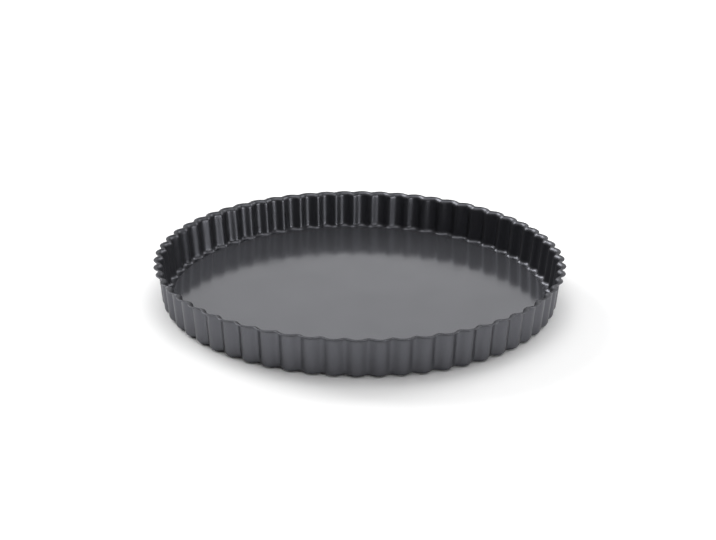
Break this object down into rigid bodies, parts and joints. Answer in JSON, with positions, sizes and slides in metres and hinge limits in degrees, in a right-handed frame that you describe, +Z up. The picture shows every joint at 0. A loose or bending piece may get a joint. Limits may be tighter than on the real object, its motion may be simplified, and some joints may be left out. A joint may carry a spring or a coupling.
{
  "type": "fluted tart pan",
  "caption": "Round shallow tart pan: a steep fluted ring, flared at the top into a narrow scalloped lip, with an inward ledge, and a flat base disc that lies on the ledge and lifts out.",
  "frame": {"origin": "centre of the pan, on the surface that it stands on", "axes": "+Z up along the pan's axis, towards the open top; lobes of the flutes lie on the X and Y axes"},
  "size_m": [0.28, 0.28, 0.0275],
  "materials": {
    "ring_coating": "dark grey satin non-stick coating on thin steel",
    "base_coating": "dark grey satin non-stick coating on thin steel, slightly smoother than the ring"
  },
  "bodies": {
    "ring": {"fluted_ring": "ring_coating"},
    "base": {"loose_base": "base_coating"}
  },
  "joints": [
    {"name": "base_lift", "type": "slide", "parent": "ring", "child": "base", "axis": [0, 0, 1], "range_m": [0, 0.06]}
  ]
}
